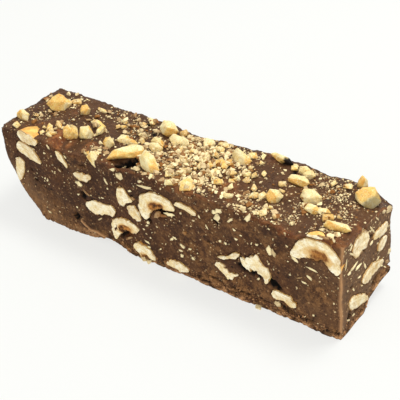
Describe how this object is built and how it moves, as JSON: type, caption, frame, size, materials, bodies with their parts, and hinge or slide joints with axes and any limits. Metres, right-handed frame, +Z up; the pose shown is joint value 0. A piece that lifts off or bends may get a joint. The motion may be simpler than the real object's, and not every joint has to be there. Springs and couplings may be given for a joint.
{
  "type": "nougat block",
  "caption": "Bar-shaped slice of hazelnut chocolate nougat: knife-cut sides with halved hazelnuts, one moulded rim end, a flat base and chopped nuts on top.",
  "frame": {"origin": "bottom centre of the bar's bounding box, on the surface it stands on", "axes": "+X along the bar from the moulded rim to the cut end, -Y towards the front cut face, +Z up"},
  "size_m": [0.1223, 0.0285, 0.0376],
  "materials": {
    "nougat": "soft brown chocolate nougat, dull on the cuts and slightly waxy on the natural top and rim",
    "cut_hazelnut": "cream cut face of a hazelnut kernel, dull, with darker fibres",
    "chopped_hazelnut": "roasted chopped hazelnut, golden skin side and paler broken sides, dull"
  },
  "bodies": {
    "root": {"nougat": "nougat", "cut_hazelnut_front_01": "cut_hazelnut", "cut_hazelnut_front_02": "cut_hazelnut", "cut_hazelnut_front_03": "cut_hazelnut", "cut_hazelnut_front_04": "cut_hazelnut", "cut_hazelnut_front_05": "cut_hazelnut", "cut_hazelnut_front_06": "cut_hazelnut", "cut_hazelnut_front_07": "cut_hazelnut", "cut_hazelnut_front_08": "cut_hazelnut", "cut_hazelnut_front_09": "cut_hazelnut", "cut_hazelnut_front_10": "cut_hazelnut", "cut_hazelnut_front_11": "cut_hazelnut", "cut_hazelnut_front_12": "cut_hazelnut", "cut_hazelnut_front_13": "cut_hazelnut", "cut_hazelnut_front_14": "cut_hazelnut", "cut_hazelnut_front_15": "cut_hazelnut", "cut_hazelnut_front_16": "cut_hazelnut", "cut_hazelnut_front_17": "cut_hazelnut", "cut_hazelnut_front_18": "cut_hazelnut", "cut_hazelnut_front_19": "cut_hazelnut", "cut_hazelnut_end_01": "cut_hazelnut", "cut_hazelnut_end_02": "cut_hazelnut", "cut_hazelnut_end_03": "cut_hazelnut", "cut_hazelnut_end_04": "cut_hazelnut", "cut_hazelnut_end_05": "cut_hazelnut", "cut_hazelnut_back_01": "cut_hazelnut", "cut_hazelnut_back_02": "cut_hazelnut", "cut_hazelnut_back_03": "cut_hazelnut", "cut_hazelnut_back_04": "cut_hazelnut", "cut_hazelnut_back_05": "cut_hazelnut", "cut_hazelnut_back_06": "cut_hazelnut", "chopped_hazelnut_01": "chopped_hazelnut", "chopped_hazelnut_02": "chopped_hazelnut", "chopped_hazelnut_03": "chopped_hazelnut", "chopped_hazelnut_04": "chopped_hazelnut", "chopped_hazelnut_05": "chopped_hazelnut", "chopped_hazelnut_06": "chopped_hazelnut", "chopped_hazelnut_07": "chopped_hazelnut", "chopped_hazelnut_08": "chopped_hazelnut", "chopped_hazelnut_09": "chopped_hazelnut", "chopped_hazelnut_10": "chopped_hazelnut", "chopped_hazelnut_11": "chopped_hazelnut", "chopped_hazelnut_12": "chopped_hazelnut", "chopped_hazelnut_13": "chopped_hazelnut", "chopped_hazelnut_14": "chopped_hazelnut", "chopped_hazelnut_15": "chopped_hazelnut", "chopped_hazelnut_16": "chopped_hazelnut", "chopped_hazelnut_17": "chopped_hazelnut", "chopped_hazelnut_18": "chopped_hazelnut", "chopped_hazelnut_19": "chopped_hazelnut", "chopped_hazelnut_20": "chopped_hazelnut", "chopped_hazelnut_21": "chopped_hazelnut", "chopped_hazelnut_22": "chopped_hazelnut", "chopped_hazelnut_23": "chopped_hazelnut", "chopped_hazelnut_24": "chopped_hazelnut", "chopped_hazelnut_25": "chopped_hazelnut", "chopped_hazelnut_26": "chopped_hazelnut"}
  },
  "joints": []
}
